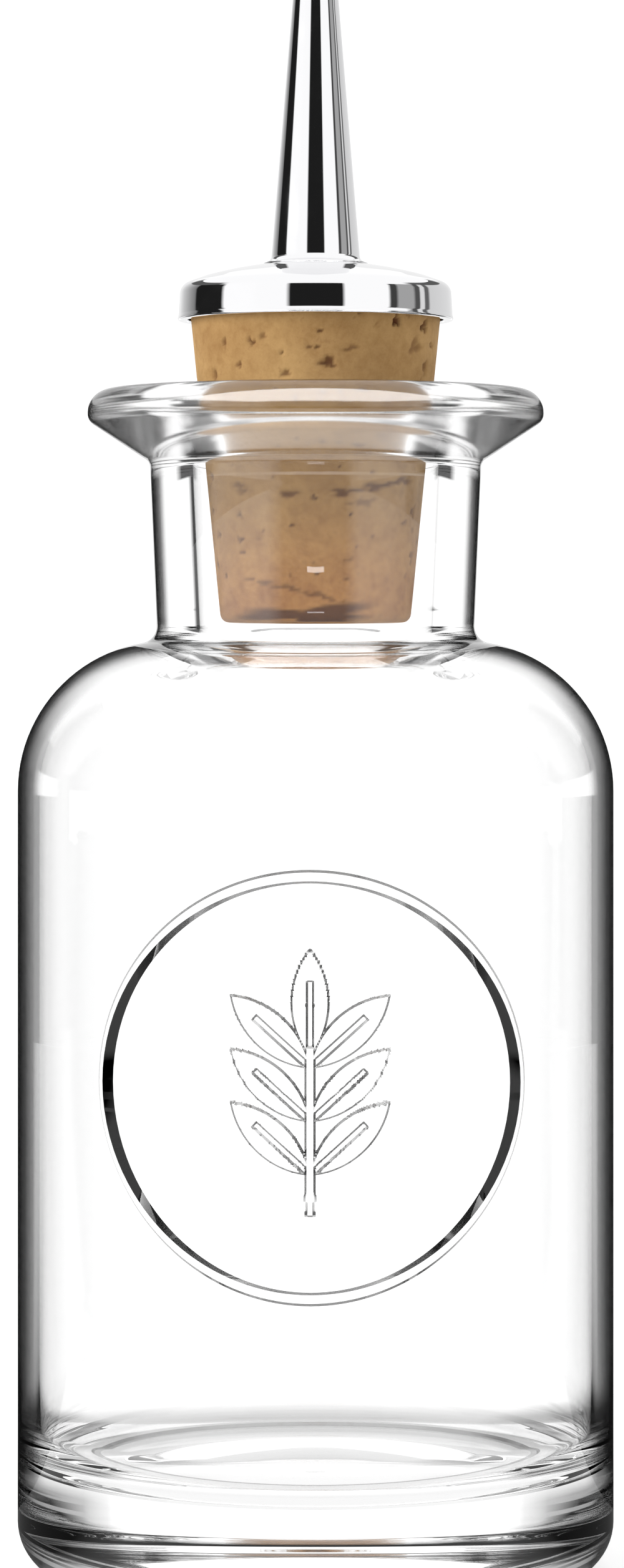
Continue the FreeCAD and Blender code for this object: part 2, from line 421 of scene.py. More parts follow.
def plateMaterial():
    material, tree, shader = newMaterial("brightPlate")
    marks = placeGroup(tree, handling, Clean=plateFinish["clean"], Marked=plateFinish["marked"],
                       Scale=plateFinish["markScale"])
    setNode(tree, shader, {"Metallic": 1.0, "Base Color": (*plateFinish["colour"], 1.0),
                           "Roughness": marks.outputs["Roughness"]})
    addRipple(tree, shader, plateFinish, plateFinish["rippleStrength"])
    return material


glassOutside = glassMaterial("clearGlassOutside", glassFinish["outsideRipple"], True)
glassInside = glassMaterial("clearGlassInside", glassFinish["insideRipple"], False)
cork = corkMaterial()
plate = plateMaterial()
print("materials made")


# Glass bottle

bottle = {
    "columns": 200,
    "wall": 2.0,
    "heel": 4.9,
    "footRing": 5.1,
    "punt": 2.6,
    "puntRows": 6,
    "floorHeight": 10.1,
    "floorCrown": 0.8,
    "floorCorner": 4.5,
    "floorStep": 0.3,
    "floorStepWidth": 0.25,
    # painted shade, as the share of the glass's colour left, on the floor's rounded corner against its rise,
    # and on the floor's rim
    "cornerPaintedShade": [(0.0, 0.7), (0.15, 0.8), (0.5, 1.0)],
    "rimPaintedShade": 0.25,
    "rimWidth": 0.9,
    "shoulderHeight": 73.3,
    "edgeRow": 0.3,  # height of a row that keeps the wall straight up to the shoulder
    "neckWall": 4.0,
    "neckRoot": 1.6,
    "boreFoot": 10.9,
    "boreTop": 11.6,
    "boreRounding": 3.0,
    "boreFlare": 3.0,
    "boreEdge": 2.0,
    "mouth": 11.05,
    "mouthEdge": 1.0,
    "throat": 4.0,
    "throatEdge": 0.8,
    "lipOverhang": 5.85,
    "lipDepth": 2.9,
    "lipFlare": 3.9,
    "lipRoot": 0.9,
    "lipEdge": 2.15,
    "lipUnder": 1.16,
}

bodyRadius = glassHigh.x
lipTop = glassHigh.z
shoulderRadius = bodyRadius - bottle["boreFoot"] - bottle["boreRounding"]
shoulderCentre = (bodyRadius - shoulderRadius, bottle["shoulderHeight"])
shoulderTop = bottle["shoulderHeight"] + shoulderRadius
ceiling = shoulderTop - bottle["wall"]

badge = {
    "height": 47.9,
    # radii of the ring's inner foot, inner crest, outer crest and outer foot
    "ringAtSides": (17.8, 18.75, 19.02, 19.16),
    "ringAtTop": (18.08, 18.32, 19.09, 19.29),
    "ringAtBottom": (18.07, 18.19, 18.95, 19.28),
    # painted shade on the flanks, as the share of the glass's colour left: the ring's inner one against its
    # height, and the others
    "innerPaintedShade": [(-1.0, 0.2), (-0.97, 0.15), (-0.87, 0.1), (-0.7, 0.05), (-0.45, 0.03), (-0.3, 1.0),
                   (0.0, 1.0), (0.1, 0.6), (0.26, 0.25), (0.5, 0.25), (0.7, 0.4), (0.87, 0.3), (1.0, 0.2)],
    "outerPaintedShade": 0.2,
    "sprigPaintedShade": 0.4,
    "relief": -glassLow.y - bodyRadius,
    "apron": 0.4,
    "windowHalfTurn": 51.0,
    "windowHalfHeight": 22.0,
    "marginShares": (0.3, 0.6, 0.85),  # rows on the way from the window's edge to the apron
    "innerRows": 5,
    "fieldStep": 0.6,
    "sprigReach": 12.9,
    "sprigStep": 0.13,
    "coreReach": 2.6,
    "sprigRelief": 0.6,
    "sprigFlank": 0.2,
    "veinHalfWidth": 0.27,
    "veinShare": 0.7,  # of the leaf's length
    "stalkHalfWidth": 0.4,
    "stalkFoot": -11.28,
    "stalkHead": 3.64,
    "leafLength": 9.46,
    "leafHalfWidth": 1.64,
    "leafRoots": (-7.64, -2.91, 1.82),
    "headRoot": 2.84,
    "leafLean": 48.0,
    "crease": 30.0,
}


def outsideProfile():
    foot = bodyRadius - bottle["heel"]
    footInner = foot - bottle["footRing"]
    punt = bottle["punt"]
    puntRadius = (footInner ** 2 + punt ** 2) / (2 * punt)
    points = [(0.0, punt)]
    puntAngle = math.degrees(math.asin(footInner / puntRadius))
    arcAbout(points, (0.0, punt - puntRadius), puntRadius, 90.0, 90.0 - puntAngle,
             turn=puntAngle / bottle["puntRows"])
    runTo(points, (foot, 0.0), step=1.0)
    arcAbout(points, (foot, bottle["heel"]), bottle["heel"], -90.0, 0.0, turn=6.5)
    low = badge["height"] - badge["windowHalfHeight"]
    high = badge["height"] + badge["windowHalfHeight"]
    runTo(points, (bodyRadius, low), step=3.0)
    runTo(points, (bodyRadius, high), step=1.47)
    runTo(points, (bodyRadius, bottle["shoulderHeight"] - bottle["edgeRow"]), step=1.5)
    runTo(points, (bodyRadius, bottle["shoulderHeight"]), step=1.5)
    return points


def shoulderProfile(points):
    root = bottle["neckRoot"]
    neckFoot = Vector((bottle["boreFoot"] + bottle["neckWall"], shoulderTop))
    neckTop = lipTop - bottle["lipDepth"] - bottle["lipFlare"]
    neckHead = Vector((bottle["boreTop"] + bottle["neckWall"], neckTop))
    up = (neckHead - neckFoot).normalized()
    out = Vector((up.y, -up.x))
    centre = Vector(shoulderCentre)
    offset = neckFoot + out * root - centre
    along = up.dot(offset)
    climb = math.sqrt(along ** 2 - offset.dot(offset) + (shoulderRadius + root) ** 2) - along
    rootCentre = centre + offset + up * climb
    toRoot = rootCentre - centre
    meet = math.degrees(math.atan2(toRoot.y, toRoot.x))
    arcAbout(points, shoulderCentre, shoulderRadius, 0.0, meet, turn=3.5)
    last = math.degrees(math.atan2(-out.y, -out.x)) % 360.0
    arcAbout(points, tuple(rootCentre), root, meet + 180.0, last, turn=6.0)
    return points[-1]


def lipProfile(points, neckStart):
    neckTop = bottle["boreTop"] + bottle["neckWall"]
    lipRadius = neckTop + bottle["lipOverhang"]
    lipLow = lipTop - bottle["lipDepth"]
    throat = lipTop - bottle["throat"]
    path = roundedPath([
        (*neckStart, 0),
        (neckTop, lipLow - bottle["lipFlare"], bottle["lipRoot"]),
        (lipRadius, lipLow, bottle["lipUnder"]),
        (lipRadius, lipTop, bottle["lipEdge"]),
        (bottle["mouth"], lipTop, bottle["mouthEdge"]),
        (bottle["mouth"], throat, bottle["throatEdge"]),
        (bottle["boreTop"], throat - bottle["boreFlare"], bottle["boreEdge"]),
        (bottle["boreFoot"], ceiling + bottle["boreRounding"], 0),
    ], step=2.0, turn=6.0)
    points.extend(path[1:])


def insideProfile(points):
    inner = bodyRadius - bottle["wall"]
    corner = bottle["floorCorner"]
    rounding = bottle["boreRounding"]
    arcAbout(points, (shoulderCentre[0], ceiling + rounding), rounding, 180.0, 270.0, turn=10.0)
    arcAbout(points, shoulderCentre, shoulderRadius - bottle["wall"], 90.0, 0.0, turn=6.0)
    runTo(points, (inner, bottle["shoulderHeight"] - bottle["edgeRow"]), step=6.0)
    runTo(points, (inner, bottle["floorHeight"] + corner), step=6.0)
    arcAbout(points, (inner - corner, bottle["floorHeight"] + corner), corner, 0.0, -90.0, turn=8.0)
    runTo(points, (points[-1][0] - bottle["floorStepWidth"], points[-1][1] - bottle["floorStep"]), step=0.2)
    edge = points[-1]
    width = bottle["rimWidth"] - bottle["floorStepWidth"]
    runTo(points, (edge[0] - width, edge[1] + bottle["floorCrown"] * width / edge[0]), step=1.0)
    runTo(points, (0.0, bottle["floorHeight"] + bottle["floorCrown"]), step=3.0)


# Distance inside a pointed oval leaf, rooted on the stalk and leaning from upright, with a vein cut along it
def insideLeaf(x, z, rootZ, lean):
    length, half = badge["leafLength"], badge["leafHalfWidth"]
    a = math.radians(lean)
    along = x * math.sin(a) + (z - rootZ) * math.cos(a)
    across = np.abs(x * math.cos(a) - (z - rootZ) * math.sin(a))
    bow = (length ** 2 / 4 + half ** 2) / (2 * half)
    edge = bow - np.hypot(along - length / 2, across + bow - half)
    vein = np.maximum(across - badge["veinHalfWidth"], along - length * badge["veinShare"])
    return np.minimum(edge, vein)


# Distance inside the sprig's outline, below zero outside it
def insideSprig(x, z):
    middle = (badge["stalkHead"] + badge["stalkFoot"]) / 2
    reach = (badge["stalkHead"] - badge["stalkFoot"]) / 2
    inside = np.minimum(badge["stalkHalfWidth"] - np.abs(x), reach - np.abs(z - middle))
    leaves = [(badge["headRoot"], 0.0)]
    for root in badge["leafRoots"]:
        leaves += [(root, badge["leafLean"]), (root, -badge["leafLean"])]
    for root, lean in leaves:
        inside = np.maximum(inside, insideLeaf(x, z, root, lean))
    return inside


def sprigRelief(x, z):
    rise = insideSprig(x, z) / badge["sprigFlank"] + 0.5
    return np.clip(rise, 0.0, 1.0) * badge["sprigRelief"]


# Points close to the foot or the crest of the sprig's flank move onto it, so the flank keeps clean edges.
def onFlankEdges(x, z):
    small = 0.01
    leastSteep = 0.25
    inside = insideSprig(x, z)
    slopeX = (insideSprig(x + small, z) - insideSprig(x - small, z)) / (2 * small)
    slopeZ = (insideSprig(x, z + small) - insideSprig(x, z - small)) / (2 * small)
    steep = np.maximum(slopeX ** 2 + slopeZ ** 2, leastSteep)
    half = badge["sprigFlank"] / 2
    move = np.zeros_like(inside)
    for line in (-half, half):
        away = line - inside
        move = np.where(np.abs(away) < badge["sprigStep"] / 2, away, move)
    return x + move * slopeX / steep, z + move * slopeZ / steep


# The ring's four radii in each direction, from its sides to its top and bottom
def ringRadii(dz):
    upright = dz ** 2
    ends = zip(badge["ringAtSides"], badge["ringAtTop"], badge["ringAtBottom"])
    return [side + (np.where(dz > 0, top, bottom) - side) * upright for side, top, bottom in ends]


def ringRelief(x, z):
    rho = np.hypot(x, z)
    innerFoot, innerCrest, outerCrest, outerFoot = ringRadii(z / np.maximum(rho, onAxis))
    inner = np.clip((rho - innerFoot) / (innerCrest - innerFoot), 0.0, 1.0)
    outer = np.clip((outerFoot - rho) / (outerFoot - outerCrest), 0.0, 1.0)
    return np.minimum(inner, outer) * badge["relief"]


# Point on the front wall seen straight on at x and z, raised by the badge's relief
def onFront(x, z):
    height = z - badge["height"]
    radius = bodyRadius + ringRelief(x, height) + sprigRelief(x, height)
    azimuth = np.arcsin(np.clip(x / radius, -1.0, 1.0))
    return onRound(radius, azimuth, z)


# Radii of the badge's rows in each direction, from its apron in to the sprig
def badgeRows(dz):
    innerFoot, innerCrest, outerCrest, outerFoot = ringRadii(dz)
    apron = badge["apron"]
    rows = [outerFoot + apron, outerFoot, (outerFoot + outerCrest) / 2, outerCrest,
            (outerCrest + innerCrest) / 2]
    rows += [innerCrest + (innerFoot - innerCrest) * t for t in np.linspace(0.0, 1.0, badge["innerRows"])]
    rows.append(innerFoot - apron)
    field = np.arange(min(badge["ringAtSides"]) - 2 * apron, badge["sprigReach"], -badge["fieldStep"])
    rows += [np.full_like(dz, rho) for rho in field]
    return rows


# Painted shade on the badge at a place on it, as the share of the glass's colour left
def badgePaintedShade(place):
    x, z = place[0], place[2] - badge["height"]
    rho = math.hypot(x, z)
    if rho < badge["sprigReach"]:
        inside = float(insideSprig(np.array(x), np.array(z)))
        return badge["sprigPaintedShade"] if abs(inside) < badge["sprigFlank"] / 2 else 1.0
    dz = np.array(z / rho)
    innerFoot, innerCrest, outerCrest, outerFoot = ringRadii(dz)
    if innerFoot < rho < innerCrest:
        return float(valueAt(badge["innerPaintedShade"], dz))
    return badge["outerPaintedShade"] if outerCrest < rho < outerFoot else 1.0


# Painted shade on the inner floor's rim, as the share of the glass's colour left, between two points of the
# profile
def floorEdgePaintedShade(start, end):
    r, z = (start[0] + end[0]) / 2, (start[1] + end[1]) / 2
    rim = bodyRadius - bottle["wall"] - bottle["floorCorner"]
    if z > bottle["floorHeight"] + bottle["floorCorner"]:
        return 1.0
    if r > rim:
        rise = (z - bottle["floorHeight"]) / bottle["floorCorner"]
        return float(valueAt(bottle["cornerPaintedShade"], rise))
    return bottle["rimPaintedShade"] if r > rim - bottle["rimWidth"] else 1.0


# Rows and columns of the window left open in front for the badge, and the loop of points round its edge
def frontWindow(wall, turned):
    slack = 0.01
    halfHeight = badge["windowHalfHeight"] + slack
    rows = [i for i, (r, z) in enumerate(wall)
            if r > bodyRadius - slack and abs(z - badge["height"]) < halfHeight]
    columns = bottle["columns"]
    halfSpan = round(badge["windowHalfTurn"] / 360.0 * columns)
    across = [column % columns for column in range(-halfSpan, halfSpan + 1)]
    loop = [turned[rows[0]][column] for column in across]
    loop += [turned[row][across[-1]] for row in rows[1:]]
    loop += [turned[rows[-1]][column] for column in reversed(across[:-1])]
    loop += [turned[row][across[0]] for row in reversed(rows[1:-1])]
    return rows, across[:-1], loop


# Rings that run in from the window's edge to the badge's centre, with their points added to the list
def badgeRings(points, loop):
    edge = np.array([points[i] for i in loop])
    ex, ez = edge[:, 0], edge[:, 2] - badge["height"]
    reach = np.hypot(ex, ez)
    dx, dz = ex / reach, ez / reach
    rings = [loop]

    def addRing(x, z):
        first = len(points)
        points.extend(onFront(x, z + badge["height"]).tolist())
        rings.append(list(range(first, first + len(x))))

    radii = badgeRows(dz)
    margin = [reach + (radii[0] - reach) * t for t in badge["marginShares"]]
    for rho in margin + radii:
        addRing(dx * rho, dz * rho)
    halfWay = np.hypot(dx + np.roll(dx, -1), dz + np.roll(dz, -1))
    fineX = np.ravel(np.column_stack([dx, (dx + np.roll(dx, -1)) / halfWay]))
    fineZ = np.ravel(np.column_stack([dz, (dz + np.roll(dz, -1)) / halfWay]))
    step = badge["sprigStep"]
    for rho in np.arange(badge["sprigReach"], badge["coreReach"], -step):
        addRing(*onFlankEdges(fineX * rho, fineZ * rho))
    for rho in np.arange(badge["coreReach"], step / 2, -step):
        addRing(*onFlankEdges(dx * rho, dz * rho))
    middle = len(points)
    points.extend(onFront(np.array([0.0]), np.array([badge["height"]])).tolist())
    rings.append([middle] * len(loop))
    return rings


def makeBottle():
    profile = outsideProfile()
    wallRows = len(profile)
    neckStart = shoulderProfile(profile)
    lipStart = len(profile)
    lipProfile(profile, neckStart)
    lipEnd = len(profile)
    insideProfile(profile)
    points, turned = turnedRings(profile, bottle["columns"], range(lipStart, lipEnd))
    r, z = np.array(profile).T
    mouthRow = np.argmin(np.hypot(r - bottle["mouth"], z - lipTop + bottle["mouthEdge"]))
    rows, inWindow, loop = frontWindow(profile[:wallRows], turned)
    faces, sides, paintedShades = [], [], []
    for row, (lower, upper) in enumerate(zip(turned, turned[1:])):
        band = joinRings(lower, upper)
        if rows[0] <= row < rows[-1]:
            band = [face for column, face in enumerate(band) if column not in inWindow]
        inside = row >= mouthRow
        faces += band
        sides += [int(inside)] * len(band)
        paintedShades += [floorEdgePaintedShade(profile[row], profile[row + 1]) if inside else 1.0] * len(band)
    badgeFaces = joinAll(badgeRings(points, loop))
    places = np.array(points)
    sides += [0] * len(badgeFaces)
    paintedShades += [badgePaintedShade(places[face].mean(axis=0)) for face in badgeFaces]
    piece = addPiece("glassBottle", points, faces + badgeFaces, [glassOutside, glassInside],
                     "bottle", "glass_bottle")
    piece.data.polygons.foreach_set("material_index", sides)
    # painted shade: the share darkens the glass's colour on the relief's flanks and the floor's rim
    layer = piece.data.attributes.new("share", "FLOAT", "FACE")
    layer.data.foreach_set("value", paintedShades)
    piece.data.set_sharp_from_angle(angle=math.radians(badge["crease"]))
    return piece


glassBottle = makeBottle()
print("bottle made,", len(glassBottle.data.polygons), "faces")


# Cork stopper

corkShape = {
    "columns": 288,
    "step": 0.25,
    "footRadius": 8.91,
    "edge": 0.8,
    "topEdge": 0.25,
    "bore": 4.15,
    "pores": 210,
    "poreSeed": 7,
    "poreSizes": (0.1, 0.34),
    "poreLengths": (0.8, 2.6),  # times the size
    "poreDepth": 0.35,
    "poreDepths": (0.3, 1.0),  # times that depth
    "poreTones": (0.3, 0.8),
    "poreRag": 0.35,
    "ragTurns": (0.0, 6.0),
    "sideShare": 0.905,  # pores lie beyond this share of the radius
    "stainSlope": 2.2,
    "dentSlope": 1.6,
    # marks in the bark, the last a painted shade: azimuth, height, half length, half width, depth, tilt,
    # darkness
    "marks": [
        (7.0, 113.0, 0.75, 0.6, 0.45, 0.0, 0.8), (-30.0, 115.0, 0.55, 0.25, 0.35, -35.0, 0.75),
        (-38.0, 112.9, 0.35, 0.3, 0.3, 0.0, 0.7), (-47.0, 114.9, 0.3, 0.55, 0.3, 0.0, 0.6),
        (-56.0, 112.1, 0.35, 0.5, 0.3, 0.0, 0.6), (-13.0, 112.0, 0.6, 0.3, 0.3, 20.0, 0.55),
        (41.0, 117.0, 0.5, 0.65, 0.6, 0.0, 1.0), (62.0, 116.6, 0.6, 0.7, 0.6, 0.0, 0.95),
        (55.0, 114.7, 0.9, 0.8, 0.3, 0.0, 0.45), (66.0, 112.8, 0.5, 0.7, 0.3, 0.0, 0.6),
        (18.0, 114.3, 0.9, 0.28, 0.25, 12.0, 0.5),
        (-11.0, 100.9, 1.2, 0.3, 0.3, 4.0, 0.7), (16.0, 101.1, 1.7, 0.36, 0.35, 8.0, 0.8),
        (33.0, 101.7, 1.9, 0.4, 0.35, 6.0, 0.8), (48.0, 102.2, 1.5, 0.36, 0.3, 4.0, 0.7),
        (24.0, 100.2, 1.3, 0.25, 0.2, 10.0, 0.5), (-40.0, 101.8, 0.8, 0.25, 0.25, 0.0, 0.55),
        (-62.0, 102.6, 0.5, 0.45, 0.4, 0.0, 0.85), (-66.0, 99.6, 0.45, 0.5, 0.4, 0.0, 0.8),
        (-60.0, 97.3, 0.5, 0.35, 0.3, 0.0, 0.7), (-67.0, 94.6, 0.4, 0.5, 0.35, 0.0, 0.8),
        (60.0, 99.4, 0.5, 0.6, 0.3, 0.0, 0.6), (64.0, 95.2, 0.45, 0.7, 0.3, 0.0, 0.6),
        (-30.0, 92.9, 1.7, 0.26, 0.1, -10.0, 0.6), (-14.0, 92.3, 1.7, 0.28, 0.1, -12.0, 0.65),
        (3.0, 91.6, 1.7, 0.28, 0.1, -13.0, 0.6), (18.0, 90.9, 1.2, 0.24, 0.1, -12.0, 0.5),
        # painted shade: a dark band with no dent along the front of the cork's foot
        (-2.6, 89.8, 7.2, 1.05, 0.0, 0.0, 0.95),
    ],
}


def corkRadius(z):
    rise = (z - corkLow.z) / (corkHigh.z - corkLow.z)
    foot = corkShape["footRadius"]
    return foot + (corkHigh.x - foot) * rise


# Pores as (azimuth, height, half length, half width, depth, tilt, darkness, turn of the ragged edge)
def corkPores():
    draw = random.Random(corkShape["poreSeed"])
    small, large = corkShape["poreSizes"]
    pores = []
    for _ in range(corkShape["pores"]):
        size = small + (large - small) * draw.random() ** 3  # most are small
        azimuth = draw.uniform(-math.pi, math.pi)
        z = draw.uniform(corkLow.z, corkHigh.z)
        depth = corkShape["poreDepth"] * draw.uniform(*corkShape["poreDepths"])
        length = size * draw.uniform(*corkShape["poreLengths"])
        dark = draw.uniform(*corkShape["poreTones"])
        turn = draw.uniform(*corkShape["ragTurns"])
        pores.append((azimuth, z, length, size, depth, 0.0, dark, turn))
    for azimuth, z, length, width, depth, tilt, dark in corkShape["marks"]:
        turn = draw.uniform(*corkShape["ragTurns"])
        pores.append((math.radians(azimuth), z, length, width, depth, math.radians(tilt), dark, turn))
    return pores


def makeCork():
    z0, z1, bore = corkLow.z, corkHigh.z, corkShape["bore"]
    profile = roundedPath([
        (bore, z0, 0), (corkRadius(z0), z0, corkShape["edge"]),
        (corkRadius(z1), z1, corkShape["topEdge"]), (bore, z1, 0),
    ], corkShape["step"], turn=15.0)
    runTo(profile, (bore, z0), step=2.0)
    profile.pop()
    points, faces = turnedMesh(profile, corkShape["columns"])
    points = np.array(points)
    radius = np.hypot(points[:, 0], points[:, 1])
    azimuth = np.arctan2(points[:, 0], -points[:, 1])
    mask = np.zeros(len(points))
    dent = np.zeros(len(points))
    onSide = radius > corkShape["sideShare"] * corkRadius(points[:, 2])
    for a, z, length, width, depth, tilt, dark, ragTurn in corkPores():
        turn = (azimuth - a + math.pi) % (2 * math.pi) - math.pi
        side = turn * radius
        rise = points[:, 2] - z
        across = (side * math.cos(tilt) + rise * math.sin(tilt)) / length
        up = (rise * math.cos(tilt) - side * math.sin(tilt)) / width
        bearing = np.arctan2(up, across)
        waves = np.sin(3 * bearing + ragTurn) + 0.7 * np.sin(5 * bearing - 2 * ragTurn)
        rag = 1.0 + corkShape["poreRag"] * waves
        inside = np.clip(1.0 - np.hypot(across, up) / rag, 0.0, 1.0) * onSide
        mask = np.maximum(mask, smoothStep(inside * corkShape["stainSlope"]) * dark)
        dent = np.maximum(dent, smoothStep(inside * corkShape["dentSlope"]) * depth)
    shrink = (radius - dent) / radius
    points[:, 0] *= shrink
    points[:, 1] *= shrink
    piece = addPiece("corkStopper", points, faces, [cork], "stopper", "cork_stopper")
    layer = piece.data.attributes.new("pore", "FLOAT", "POINT")
    layer.data.foreach_set("value", mask.astype(np.float32))
    return piece


corkStopper = makeCork()
print("cork made,", len(corkStopper.data.polygons), "faces")


# Plated piece of the stopper, turned from its profile
def addPlated(name, profile, columns, node):
    points, faces = turnedMesh(profile, columns)
    addPiece(name, points, faces, [plate], "stopper", node)


# Cap

cap = {
    "columns": 192,
    "wall": 1.0,
    "skirt": 3.35,
    "roofInset": 0.5,
    "dome": 2.25,
    "rim": 1.2,
    "rimTurn": 4.0,
    "hole": 3.62,
    "flare": 0.3,
    "lip": 0.55,
    "lipRounding": 0.5,
    "lowEdge": 0.2,
    "recessEdge": 0.15,
}


def makeCap():
    z0 = capLow.z
    r = capHigh.x
    skirtTop = z0 + cap["skirt"]
    roof = skirtTop - cap["roofInset"]
    recess = r - cap["wall"]
    domeRadius = (r ** 2 + cap["dome"] ** 2) / (2 * cap["dome"])
    domeCentre = skirtTop + cap["dome"] - domeRadius
    rimAngle = math.degrees(math.atan2(skirtTop - domeCentre, r))
    footAngle = math.degrees(math.acos(spoutHigh.x / domeRadius))
    startAngle = math.radians(rimAngle + cap["rimTurn"])
    domeStart = (domeRadius * math.cos(startAngle), domeCentre + domeRadius * math.sin(startAngle))
    profile = roundedPath([
        (cap["hole"], capHigh.z, 0), (cap["hole"], roof, 0), (recess, roof, cap["recessEdge"]),
        (recess, z0, cap["recessEdge"]), (r, z0, cap["lowEdge"]),
        (r - cap["flare"] / 2, z0 + cap["lip"], cap["lipRounding"]),
        (r - cap["flare"], skirtTop, cap["rim"]), (*domeStart, 0),
    ], step=0.5, turn=10.0)
    arcAbout(profile, (0.0, domeCentre), domeRadius, rimAngle + cap["rimTurn"], footAngle, turn=0.8)
    addPlated("capDisc", profile, cap["columns"], "cap_disc")


makeCap()


# Spout

spout = {
    "columns": 128,
    "base": 4.22,
    "tip": 1.65,
    "tipWall": 0.65,
    "tipEdge": 0.3,
    "tipInnerEdge": 0.15,
    "fillet": 0.75,
    "footEdge": 0.15,
    "spigot": 3.57,
    "spigotWall": 0.7,
    "spigotEdge": 0.1,
}


def makeSpout():
    foot = capHigh.z
    bore = spout["spigot"] - spout["spigotWall"]
    profile = roundedPath([
        (bore, spoutLow.z, 0), (spout["spigot"], spoutLow.z, spout["spigotEdge"]),
        (spout["spigot"], foot, 0), (spoutHigh.x, foot, 0), (spoutHigh.x, foot + spout["footEdge"], 0),
        (spout["base"], foot + spout["footEdge"], spout["fillet"]),
        (spout["tip"], spoutHigh.z, spout["tipEdge"]),
        (spout["tip"] - spout["tipWall"], spoutHigh.z, spout["tipInnerEdge"]), (bore, foot, 0),
    ], step=1.2, turn=8.0)
    runTo(profile, (bore, spoutLow.z), step=2.0)
    profile.pop()
    addPlated("spoutTube", profile, spout["columns"], "spout_tube")


makeSpout()


# Ferrule inside the cork

ferrule = {
    "columns": 96,
    "tube": 4.1,
    "wall": 0.5,
    "flange": 1.0,
    "flangeEdge": 0.2,
    "flangeRoot": 0.05,
    "endEdge": 0.12,
}


def makeFerrule():
    bore = ferrule["tube"] - ferrule["wall"]
    flangeLow = ferruleHigh.z - ferrule["flange"]
    edge = ferrule["flangeEdge"]
    profile = roundedPath([
        (bore, ferruleLow.z, 0), (ferrule["tube"], ferruleLow.z, ferrule["endEdge"]),
        (ferrule["tube"], flangeLow, ferrule["flangeRoot"]), (ferruleHigh.x, flangeLow, edge),
        (ferruleHigh.x, ferruleHigh.z, edge), (bore, ferruleHigh.z, edge), (bore, ferruleLow.z, 0),
    ], step=1.5, turn=20.0)
    profile.pop()
    addPlated("stemFerrule", profile, ferrule["columns"], "stem_ferrule")


makeFerrule()
print("metal head made")


# Camera

shot = {
    "azimuth": 1.05,
    "distance": 0.452,
    "height": 0.088,
    "aside": -0.00034,
    "lens": 110.2,
    "sensor": 36.0,
    "drop": -0.0955,
    "nearest": 0.01,
}


def addCamera():
    data = bpy.data.cameras.new("camera")
    data.lens = shot["lens"]
    data.sensor_width = shot["sensor"]
    data.shift_y = shot["drop"]
    data.clip_start = shot["nearest"]
    camera = addObject("camera", data)
    a = math.radians(shot["azimuth"])
    back = Vector((math.sin(a), -math.cos(a), 0.0))
    right = Vector((math.cos(a), math.sin(a), 0.0))
    up = Vector((0.0, 0.0, shot["height"]))
    camera.location = back * shot["distance"] + right * shot["aside"] + up
    camera.rotation_euler = (math.pi / 2, 0.0, a)
    bpy.context.scene.camera = camera
    return camera


camera = addCamera()


# Studio: white surroundings, a pale floor, a key light on the left, and flags and sheets that show
# only in glass, in gloss or on matt surfaces

studio = {
    "surroundings": 1.12,
    "floorTones": [(0.35, 0.49), (0.65, 0.5)],
    "floorCloudScale": 9.0,
    "floorRoughness": 0.9,
    "floorGlow": 0.62,
    "floorRadius": 3.0,
    "floorSides": 64,
    "floorHeight": -0.0001,
    "keyPower": 3.9,
    "keySize": 0.4,
    "keyPlace": (-0.65, -0.25, 0.3),
    "keyAim": (0.0, 0.0, 0.08),
}


# Glow of one tone, or of the tone that each point of the sheet carries
def glowMaterial(name, strength, tone=None):
    material, tree, _ = newMaterial(name)
    tree.nodes.clear()
    if tone is None:
        colour = addNode(tree, "ShaderNodeAttribute", attribute_name="shade").outputs["Fac"]
    else:
        colour = (tone, tone, tone, 1.0)
    glow = addNode(tree, "ShaderNodeEmission", Color=colour, Strength=strength)
    addNode(tree, "ShaderNodeOutputMaterial", Surface=glow.outputs["Emission"])
    return material


def addStagePiece(name, points, faces, material):
    mesh = bpy.data.meshes.new(name)
    mesh.from_pydata(points, [], faces)
    mesh.materials.append(material)
    mesh.update()
    piece = addObject(name, mesh)
    return piece


def addFloor():
    material, tree, shader = newMaterial("paleFloor")
    cloud = addNode(tree, "ShaderNodeTexNoise", Vector=addPlace(tree), Scale=studio["floorCloudScale"],
                    Detail=3.0)
    setNode(tree, shader, {
        "Base Color": addRamp(tree, cloud.outputs["Fac"], studio["floorTones"]),
        "Roughness": studio["floorRoughness"],
        "Specular IOR Level": 0.0,
        "Emission Color": (1.0, 1.0, 1.0, 1.0),
        "Emission Strength": studio["floorGlow"],
    })
    count = studio["floorSides"]
    r = studio["floorRadius"]
    turns = [2 * math.pi * i / count for i in range(count)]
    rim = [(r * math.cos(turn), r * math.sin(turn), studio["floorHeight"]) for turn in turns]
    addStagePiece("floor", rim, [list(range(count))], material)


# Tones given on the right, and the same on the left
def bothSides(*tones):
    return [(-turn, share) for turn, share in reversed(tones)] + list(tones)


# Tones are the azimuth in degrees from the camera's side, growing to its right, and the share of the
# surroundings' light.
bodyTones = bothSides((85.0, 1.0), (95.0, 0.0), (133.0, 0.0), (146.0, 1.12))
neckTones = [(-125.0, 1.12), (-120.0, 0.0), (-100.0, 0.0), (-92.0, 1.0), (92.0, 1.0), (100.0, 0.7),
             (117.0, 0.7), (121.0, 1.12)]
baseTones = bothSides((85.0, 1.0), (95.0, 0.05), (134.0, 0.05), (144.0, 1.12))
upperTones = bothSides((85.0, 1.0), (95.0, 0.05), (132.0, 0.05), (140.0, 1.12))
glossTones = bothSides((85.0, 1.0), (95.0, 0.1), (150.0, 0.1), (160.0, 1.0))
frontTones = bothSides((30.0, 0.4), (60.0, 1.0))
neckGlossTones = [(-80.0, 1.0), (-66.0, 2.0), (-34.0, 2.0), (-22.0, 0.1), (20.0, 0.1), (30.0, 1.7),
                  (52.0, 1.7), (66.0, 1.0)]
